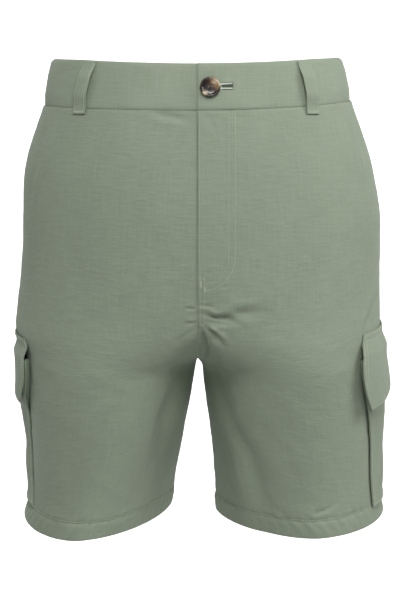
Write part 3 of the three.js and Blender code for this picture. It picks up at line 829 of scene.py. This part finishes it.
def beltLoop(name, side, across, lean, back):
    look = loopLook
    at = loopShape(side, across, lean, back)
    v, u = np.broadcast_arrays(spread(46, 55)[:, None], spread(14, look["width"])[None, :])
    toEdge = np.minimum(u, 1 - u) * look["width"]
    toEnd = np.minimum(v, 1 - v) * 55
    crown = 0.35 * smooth(toEdge, 0, 2.5) - 0.35 * np.exp(-((np.minimum(toEdge, toEnd) / 0.8) ** 2))
    crown -= 0.22 * np.exp(-(((toEdge - look["edge"]) / 0.7) ** 2))
    outer, _ = at(v, u, look["wall"] - 0.2 + crown)
    inner, _ = at(v, u, 0.15 * np.exp(-((toEdge / 0.8) ** 2)))
    piece = place(shellMesh(name + "_cloth", outer, inner, sageBandPaintedSheen), "cloth", name)
    rows = []
    for share in (look["edge"] / look["width"], 1 - look["edge"] / look["width"]):
        run = np.linspace(0.03, 0.97, 90)
        rows.append(at(run, np.full(90, share), np.full(90, look["wall"] - 0.1)))
    bars = []
    for down in (0.028, 0.045, 0.062):
        cross = np.linspace(0.08, 0.92, 30)
        bars.append(at(np.full(30, down), cross, np.full(30, look["wall"] + 0.1)))
    return rows, bars


loopPlaces = [
    ("belt_loop_front_left", leftSide, 99, 9, False),
    ("belt_loop_front_right", rightSide, 101, 10.5, False),
    ("belt_loop_back_left", leftSide, 92, 4, True),
    ("belt_loop_back_right", rightSide, 92, 4, True),
    ("belt_loop_back_centre", leftSide, 0, 0, True),
]
loopRows, loopBars = [], []
for name, side, across, lean, back in loopPlaces:
    rows, bars = beltLoop(name, side, across, lean, back)
    loopRows += rows
    loopBars += bars
sew("belt_loop_stitches", loopRows, pitch=2.4, length=1.8, width=0.5, proud=0.25)
sew("belt_loop_bartacks", loopBars, pitch=0.9, length=1.2, width=0.9, proud=0.35)
print("belt loops sewn on")


# Cargo pockets: panel, bellows and flap
pocketLook = {
    "width": 155, "inset": 3, "fold": 3.2, "seat": 0.95, "rest": 0.7, "corner": 9, "edge": 2.0,
    "stand": 5.6, "swell": 4.2, "settle": 2.8,
}
flapLook = {
    "width": 178, "tall": 62, "wall": 1.6, "overhang": 4, "seat": 0.65, "clear": 7.6, "sewn": 4.5,
    "edge": 1.8, "second": 6.4,
}


def pocketPlace(side, down, share):
    z = mix(side["mouth"], side["pocketBase"], down)
    front = angleAcross(side, z, side["pocketFrontAt"](z))
    back = angleAcross(side, z, side["pocketBackAt"](z), True)
    return z, mix(front, back, share)


def pocketStand(side, down, share):
    # stands off the leg on its bellows, with the front edge pressed back towards the leg
    across = np.sin(math.pi * np.clip(share, 0, 1))
    along = smooth(down, -0.1, 0.6) * (1 - 0.7 * smooth(down, 0.75, 1))
    press = side["pocketPress"] * (1 - smooth(share, 0.02, 0.3)) * smooth(down, *side["pressFrom"])
    settle = pocketLook["settle"] * smooth(down, 0.82, 1) * smooth(share, 0.05, 0.3)
    return pocketLook["stand"] + pocketLook["swell"] * across * along - press - settle


def cargoPocket(side):
    look = pocketLook
    tall = side["mouth"] - side["pocketBase"]
    v, u = np.broadcast_arrays(spread(74, tall)[:, None], spread(78, look["width"])[None, :])
    z, angle = pocketPlace(side, v, u)
    base, normal = formPoint(side, z, angle), formNormal(side, z, angle)
    toEdge = np.minimum(np.minimum(u, 1 - u) * look["width"], (1 - v) * tall)
    toTop = v * tall
    stand = pocketStand(side, v, u) + shortsForm["clothWall"]
    relief = clothRelief(side, base, normal)
    slack = patchNoise(u * look["width"] + 300 * (side["sign"] > 0), z, 26, 34, 31)
    sag = 0.9 * np.exp(-((((u - 0.2) * 1.1 + (v - 0.75) * 0.6) / 0.07) ** 2)) * smooth(v, 0.45, 0.7)
    stand = stand + 0.55 * slack * smooth(toEdge, 2, 20) - sag * smooth(toEdge, 2, 14)
    stand = stand - 0.5 * np.exp(-((np.minimum(toEdge, toTop) / 0.8) ** 2))
    stand = stand - 0.3 * np.exp(-(((toEdge - look["edge"]) / 0.9) ** 2))
    outer = base + normal * (relief + stand)[..., None]
    inner = base + normal * (relief + stand - shortsForm["clothWall"])[..., None]
    name = "cargo_pocket_" + side["name"]
    piece = place(shellMesh(name + "_cloth", outer, inner, sageCloth), "cloth", name)
    rows = []
    across = np.linspace(look["edge"] / look["width"], 1 - look["edge"] / look["width"], 160)
    down = np.linspace(0.02, 1 - look["edge"] / tall, 160)
    runs = [
        (down, np.full(160, across[0])),
        (np.full(160, down[-1]), across),
        (down[::-1], np.full(160, across[-1])),
    ]
    for vRun, uRun in runs:
        zRun, aRun = pocketPlace(side, vRun, uRun)
        lift = pocketStand(side, vRun, uRun) + shortsForm["clothWall"] - 0.2
        rows.append(onCloth(side, zRun, aRun, lift))
    return rows


def cargoGusset(side):
    look = pocketLook
    tall, wide, radius = side["mouth"] - side["pocketBase"], look["width"], look["corner"]

    def pathAt(t, inset):
        low, far = tall - inset, wide - inset
        arc = math.pi / 2 * radius
        lengths = [low - radius, arc, far - inset - 2 * radius, arc, low - radius]
        ends = np.cumsum(np.broadcast_arrays(*lengths), axis=0)
        run = t * ends[-1]
        across = np.where(run <= ends[0], inset, 0.0)
        down = np.where(run <= ends[0], run, 0.0)
        turn = (run - ends[0]) / radius
        first = (run > ends[0]) & (run <= ends[1])
        across = np.where(first, inset + radius * (1 - np.cos(turn)), across)
        down = np.where(first, low - radius + radius * np.sin(turn), down)
        flat = (run > ends[1]) & (run <= ends[2])
        across = np.where(flat, inset + radius + run - ends[1], across)
        down = np.where(flat, low, down)
        turn = (run - ends[2]) / radius
        second = (run > ends[2]) & (run <= ends[3])
        across = np.where(second, far - radius + radius * np.sin(turn), across)
        down = np.where(second, low - radius + radius * np.cos(turn), down)
        last = run > ends[3]
        across = np.where(last, far, across)
        down = np.where(last, low - radius - (run - ends[3]), down)
        return across, down

    def at(v, u, thick):
        inset = look["inset"] + look["fold"] * np.sin(math.pi * v) + thick
        across, down = pathAt(u, inset)
        z, angle = pocketPlace(side, down / tall, across / wide)
        top = np.maximum(pocketStand(side, down / tall, across / wide) - look["rest"], look["seat"] + 0.3)
        return clothPoint(side, z, angle, mix(look["seat"], top, v))

    v, u = np.broadcast_arrays(np.linspace(0, 1, 11)[:, None], np.linspace(0, 1, 230)[None, :])
    name = "cargo_gusset_" + side["name"]
    piece = place(shellMesh(name + "_cloth", at(v, u, 0), at(v, u, 1.1), sageCloth), "cloth", name)


def flapShape(side):
    look = flapLook

    def at(v, u, away):
        base = side["flapBase"] - side["flapSlant"] * (1 - smooth(u, 0, 0.5))
        z = mix(side["flapTop"], base, v)
        front = angleAcross(side, z, side["flapFrontAt"](z))
        back = angleAcross(side, z, side["pocketBackAt"](z) - look["overhang"], True)
        angle = mix(front, back, u)
        clear = mix(look["seat"], look["clear"], smooth(z, side["flapTop"] - look["sewn"], side["mouth"] + 2))
        hang = np.clip((side["mouth"] - z) / (side["mouth"] - base), 0, 1)
        out = clear + (side["flapStand"] - look["clear"]) * hang
        return clothPoint(side, z, angle, out + away), formNormal(side, z, angle)

    return at


def cargoFlap(side):
    look = flapLook
    at = flapShape(side)
    wide, tall = look["width"], look["tall"]
    v, u = np.broadcast_arrays(spread(34, tall)[:, None], spread(88, wide)[None, :])
    toEdge = np.minimum(np.minimum(u, 1 - u) * wide, np.minimum(v, 1 - v) * tall)
    free = np.minimum(np.minimum(u, 1 - u) * wide, (1 - v) * tall)
    wave = 0.5 * patchNoise(u * wide + 90 * (side["sign"] > 0), v * tall, 30, 24, 41) * smooth(v, 0.15, 0.6)
    roll = -0.6 * np.exp(-((toEdge / 0.8) ** 2)) + 0.3 * smooth(free, 0, 3)
    for inset in (look["edge"], look["second"]):
        roll = roll - 0.4 * np.exp(-(((toEdge - inset) / 0.9) ** 2))
    outer, _ = at(v, u, look["wall"] + wave + roll)
    inner, _ = at(v, u, wave + 0.1)
    name = "cargo_flap_" + side["name"]
    piece = place(shellMesh(name + "_cloth", outer, inner, sageBandPaintedSheen), "cloth", name)
    rows = []
    for inset in (look["edge"], look["second"]):
        su, sv = inset / wide, inset / tall
        down = np.linspace(0.03, 1 - sv, 90)
        across = np.linspace(su, 1 - su, 190)
        lift = look["wall"] - 0.05
        rows.append(at(down, np.full(90, su), lift))
        rows.append(at(np.full(190, 1 - sv), across, lift))
        rows.append(at(down[::-1], np.full(90, 1 - su), lift))
        rows.append(at(np.full(190, sv), across, lift))
    return rows


pocketRows, flapRows = [], []
for side in (leftSide, rightSide):
    pocketRows += cargoPocket(side)
    cargoGusset(side)
    flapRows += cargoFlap(side)
sew("cargo_pocket_stitches", pocketRows)
sew("cargo_flap_stitches", flapRows)
print("cargo pockets built")


# Fly, crotch and hem rows
flyLook = {"outer": 34, "inner": 28.2, "edge": 1.9, "second": 6.3, "curveStart": -158, "toe": 6.5}


def acrossRow(side, z, across, lift=0.1, back=False):
    z, across = np.asarray(z, float), np.asarray(across, float)
    point, normal = onCloth(side, z, angleAcross(side, z, across, back), lift)
    return point, normal


def flyRow(reach, bottom):
    turnFrom = flyLook["curveStart"]
    straight = np.linspace(-29, turnFrom, 60)
    t = np.linspace(0, math.pi / 2, 60)
    toeX = flyLook["toe"]
    z = np.concatenate([straight, turnFrom + (bottom - turnFrom) * np.sin(t)])
    x = np.concatenate([np.full(60, reach), toeX + (reach - toeX) * np.cos(t)])
    return acrossRow(leftSide, z, x)


flyRows = [flyRow(flyLook["outer"], -188.5), flyRow(flyLook["inner"], -182)]
edgeRun = np.linspace(-29, -186, 120)
flyRows.append(acrossRow(leftSide, edgeRun, np.full(120, flyLook["edge"])))
crotchRun = np.linspace(-174, -226, 50)
for inset in (flyLook["edge"] + 0.4, flyLook["second"]):
    flyRows.append(acrossRow(leftSide, crotchRun, np.full(50, inset), 0.15))
sew("fly_stitches", flyRows, pitch=2.3, length=1.7, width=0.42, proud=0.2)

hemRows = []
for side in (leftSide, rightSide):
    around = np.linspace(0.02, 2 * math.pi - 0.02, 700)
    level = np.full(700, -430.0)
    for _ in range(3):
        x = formPoint(side, level, around)[..., 0]
        level = hemLine(side, x) + panelLook["hemDeep"]
    hemRows.append(onCloth(side, level, around, -0.3))
sew("hem_stitches", hemRows, pitch=3.0, length=2.3)

tackRows = []
for x, top, bottom in ((2.6, -180, -187), (6.2, -186, -190)):
    for shift in (0, 0.9):
        tackRows.append(acrossRow(leftSide, np.linspace(top, bottom, 12), np.full(12, x + shift), 0.25))
for drop in (0, 0.9, 1.8):
    tackRows.append(acrossRow(leftSide, np.full(12, -221.2 - drop), np.linspace(1.4, 6.2, 12), 0.3))
sew("fly_bartacks", tackRows, pitch=0.8, length=1.1, width=1.0, proud=0.3)


# Buttonhole: two close rows of thread round a slot, joined at the far end
holeLook = {"start": 9.5, "end": 31.2, "topNear": -5.0, "topFar": -3.1, "base": -7.6, "lift": 0.85, "edge": 1.3}


def buttonhole():
    look = holeLook
    points, faces, total = [], [], 0
    for near, far in ((look["topNear"], look["topFar"]), (look["base"], look["base"])):
        run = np.linspace(look["start"], look["end"], 60)
        path, normals = acrossRow(leftSide, np.linspace(near, far, 60), run, look["lift"] + 0.2)
        centre, along, out = evenly(path, normals, 0.42)
        p, f = threadShapes(centre, unit(np.cross(out, along)), out, 1.75, 0.5, 0.6)
        points.append(p)
        faces.append(f + total)
        total += len(p)
    points, faces = np.concatenate(points) * mm, np.concatenate(faces)
    place(meshFrom("buttonhole_thread", points, faces, paleThread, sharp=80), "cloth")
    # painted shade: a dark sheet over the slot between the rows and over the cloth along their edges
    slotX = np.linspace(look["start"], look["end"] + 0.6, 30)[None, :]
    slotX, share = np.broadcast_arrays(slotX, np.linspace(0, 1, 6)[:, None])
    along = (slotX - look["start"]) / (look["end"] - look["start"])
    topLine = mix(look["topNear"], look["topFar"], along)
    slotZ = mix(look["base"] - look["edge"], topLine + look["edge"], share)
    point, normal = acrossRow(leftSide, slotZ, slotX, look["lift"] - 0.02)
    slot = shellMesh("buttonhole_painted_shade", point + normal * 0.05, point - normal * 0.3, paintedShadeFinish)
    place(slot, "cloth")


# a copy of the cloth at a quarter of its tone, painted as shade
paintedShadeFinish = weaveFinish("buttonhole_shade", [c * 0.26 for c in weaveLook["tone"]])
buttonhole()
print("fly, hems and buttonhole stitched")


# Button
buttonLook = {
    "radius": 9.2, "rim": 3.4, "dish": 2.3, "hole": 0.95, "ring": 2.1, "x": 11.2, "z": -6.5, "stand": 1.0,
}


def waistButton():
    look = buttonLook
    r, rim, dish = look["radius"], look["rim"], look["dish"]
    outline = [
        (0.02, 0), (r * 0.5, 0), (r * 0.78, 0.05), (r * 0.9, 0.5), (r * 0.985, 1.25), (r, 1.75),
        (r * 0.99, 2.3), (r * 0.955, 2.9), (r * 0.91, 3.28), (r * 0.865, rim), (r * 0.81, rim - 0.06),
        (r * 0.76, rim - 0.3), (r * 0.7, dish + 0.28), (r * 0.62, dish + 0.04), (r * 0.5, dish - 0.08),
        (r * 0.3, dish - 0.12), (0.02, dish - 0.12),
    ]
    turns = 72
    turn = np.linspace(0, 2 * math.pi, turns, endpoint=False)
    points = np.array([(x * math.cos(t), x * math.sin(t), z) for x, z in outline for t in turn])
    grid = np.arange(len(outline) * turns).reshape(len(outline), turns)
    ahead = np.roll(grid, -1, axis=1)
    faces = np.stack([grid[:-1], ahead[:-1], ahead[1:], grid[1:]], -1).reshape(-1, 4).tolist()
    faces += [grid[0].tolist()[::-1], grid[-1].tolist()]
    piece = meshFrom("waist_button_horn", points * mm, faces, tortoiseshell, sharp=50)
    holes = []
    for k in range(4):
        spin = math.pi / 4 + k * math.pi / 2
        bpy.ops.mesh.primitive_cylinder_add(
            vertices=20, radius=look["hole"] * mm, depth=0.02,
            location=(look["ring"] * math.cos(spin) * mm, look["ring"] * math.sin(spin) * mm, 0),
        )
        holes.append(bpy.context.object)
    for hole in holes:
        cutter = piece.modifiers.new("hole", "BOOLEAN")
        cutter.operation, cutter.solver, cutter.object = "DIFFERENCE", "EXACT", hole
    bpy.context.view_layer.update()
    cut = bpy.data.meshes.new_from_object(piece.evaluated_get(bpy.context.evaluated_depsgraph_get()))
    piece.modifiers.clear()
    piece.data = cut
    for hole in holes:
        bpy.data.objects.remove(hole)
    cut.shade_smooth()
    cut.set_sharp_from_angle(angle=math.radians(40))
    angle = angleAcross(leftSide, look["z"], look["x"])
    normal = Vector(formNormal(leftSide, look["z"], angle).tolist())
    out = shortsForm["bandProud"] + look["stand"]
    seat = Vector(clothPoint(leftSide, np.float64(look["z"]), angle, out).tolist())
    piece.location = seat * mm
    piece.rotation_mode = "QUATERNION"
    piece.rotation_quaternion = Vector((0, 0, 1)).rotation_difference(normal)
    place(piece, "horn_button", "waist_button")
    # two upright threads through the holes, and the shank under the button
    bpy.context.view_layer.update()
    world = np.array(piece.matrix_world)
    starts, ends = [], []
    for shift in (-1, 1):
        for slip in (-0.28, 0.28):
            starts.append((shift * look["ring"] * 0.707 + slip, -look["ring"] * 0.707, dish + 0.15))
            ends.append((shift * look["ring"] * 0.707 + slip, look["ring"] * 0.707, dish + 0.15))
    starts, ends = np.array(starts), np.array(ends)
    turnTo = world[:3, :3] / np.linalg.norm(world[:3, :3], axis=0)
    centre = (starts + ends) / 2 @ turnTo.T + world[:3, 3] / mm
    along = unit((ends - starts) @ turnTo.T)
    out = np.broadcast_to(turnTo[:, 2], along.shape)
    points, faces = threadShapes(centre, along, out, 4.4, 0.5, 0.3)
    place(meshFrom("button_threads", points * mm, faces, buttonThread, sharp=80), "cloth")
    shank = []
    for k in range(10):
        spin = 2 * math.pi * k / 10
        shank.append((1.5 * math.cos(spin), 1.5 * math.sin(spin), -0.35))
    centre = np.array(shank) @ turnTo.T + world[:3, 3] / mm
    along = np.broadcast_to(turnTo[:, 2], centre.shape)
    out = unit(centre - world[:3, 3] / mm)
    points, faces = threadShapes(centre, along, out, 1.7, 0.9, 0.45)
    place(meshFrom("button_shank", points * mm, faces, buttonThread, sharp=80), "cloth")


waistButton()
print("button sewn on")


# Studio: pale floor a metre below the waist that runs up into a bright backdrop, and large soft lamps
studioLook = {
    "floorDrop": 1.0,
    "wallAt": 4.2,
    "cameraAt": (0.0022, -1.4, 0.0),
    "pitch": 8.825,
    "focal": 1417,
    "frameLong": 600,
    "sensor": 36,
    "world": 0.15,
    # name, place, size, watts
    "lamps": [
        ("frontLamp", (0.15, -1.35, 0.95), 0.9, 19),
        ("leftLamp", (1.3, -0.4, 0.7), 1.0, 13),
        ("rightLamp", (-1.3, -0.4, 0.7), 1.0, 4.5),
    ],
}


def studio():
    look = studioLook
    reach, drop, wall = 9.0, look["floorDrop"], look["wallAt"]
    turn = np.linspace(0, math.pi / 2, 13)
    outline = [(-reach, 0)] + [(wall - 1 + math.sin(t), 1 - math.cos(t)) for t in turn] + [(wall, 4.5)]
    points = [(x, y, z) for y, z in outline for x in (-reach, reach)]
    faces = [(2 * k, 2 * k + 1, 2 * k + 3, 2 * k + 2) for k in range(len(outline) - 1)]
    sweepMesh = bpy.data.meshes.new("studio_sweep")
    sweepMesh.from_pydata(points, [], faces)
    sweepMesh.shade_smooth()
    paint = bpy.data.materials.new("sweep_paint")
    paint.use_nodes = True
    add = nodeMaker(paint.node_tree)
    shader = paint.node_tree.nodes["Principled BSDF"]
    where = add("ShaderNodeTexCoord").outputs["Object"]
    grainy = add("ShaderNodeTexNoise", {"Vector": where, "Scale": 3.0, "Detail": 1.0})
    tint = add(
        "ShaderNodeMix",
        {"Factor": grainy.outputs["Fac"], "A": (0.82, 0.82, 0.82, 1), "B": (0.85, 0.85, 0.85, 1)},
        data_type="RGBA",
    )
    # the backdrop glows behind the shorts, and the floor's glow starts well behind them
    parts = add("ShaderNodeSeparateXYZ", {"Vector": where}).outputs
    behind = add(
        "ShaderNodeMapRange",
        {"Value": parts["Y"], "From Min": 0.85, "From Max": 1.2, "To Min": 0.0, "To Max": 1.0},
        interpolation_type="SMOOTHSTEP",
    )
    aside = add("ShaderNodeMath", {0: parts["X"]}, operation="ABSOLUTE")
    within = add(
        "ShaderNodeMapRange",
        {"Value": aside.outputs[0], "From Min": 0.95, "From Max": 1.6, "To Min": 1.0, "To Max": 0.25},
        interpolation_type="SMOOTHSTEP",
    )
    glow = add("ShaderNodeMath", {0: behind.outputs[0], 1: within.outputs[0]}, operation="MULTIPLY")
    paint.node_tree.links.new(tint.outputs["Result"], shader.inputs["Base Color"])
    paint.node_tree.links.new(glow.outputs[0], shader.inputs["Emission Strength"])
    shader.inputs["Emission Color"].default_value = (1, 1, 1, 1)
    shader.inputs["Roughness"].default_value = 0.9
    sweepMesh.materials.append(paint)
    sweep = bpy.data.objects.new("studio_sweep", sweepMesh)
    sweep.location.z = -drop
    bpy.context.scene.collection.objects.link(sweep)

    world = bpy.data.worlds.new("studio")
    world.use_nodes = True
    world.node_tree.nodes["Background"].inputs["Color"].default_value = (1, 1, 1, 1)
    world.node_tree.nodes["Background"].inputs["Strength"].default_value = look["world"]
    bpy.context.scene.world = world

    for name, at, size, watts in look["lamps"]:
        light = bpy.data.lights.new(name, "AREA")
        light.shape, light.size, light.energy = "DISK", size, watts
        holder = bpy.data.objects.new(name, light)
        holder.location = at
        holder.rotation_mode = "QUATERNION"
        holder.rotation_quaternion = (Vector((0, 0, -0.15)) - Vector(at)).to_track_quat("-Z", "Y")
        holder.visible_camera = False
        bpy.context.scene.collection.objects.link(holder)

    camera = bpy.data.cameras.new("front")
    camera.sensor_width = look["sensor"]
    camera.lens = look["focal"] * look["sensor"] / look["frameLong"]
    camera.clip_start, camera.clip_end = 0.05, 50
    holder = bpy.data.objects.new("front", camera)
    holder.location = look["cameraAt"]
    holder.rotation_euler = (math.radians(90 - look["pitch"]), 0, 0)
    bpy.context.scene.collection.objects.link(holder)
    bpy.context.scene.camera = holder


studio()
bpy.context.scene.view_settings.view_transform = "Standard"
bpy.context.view_layer.update()
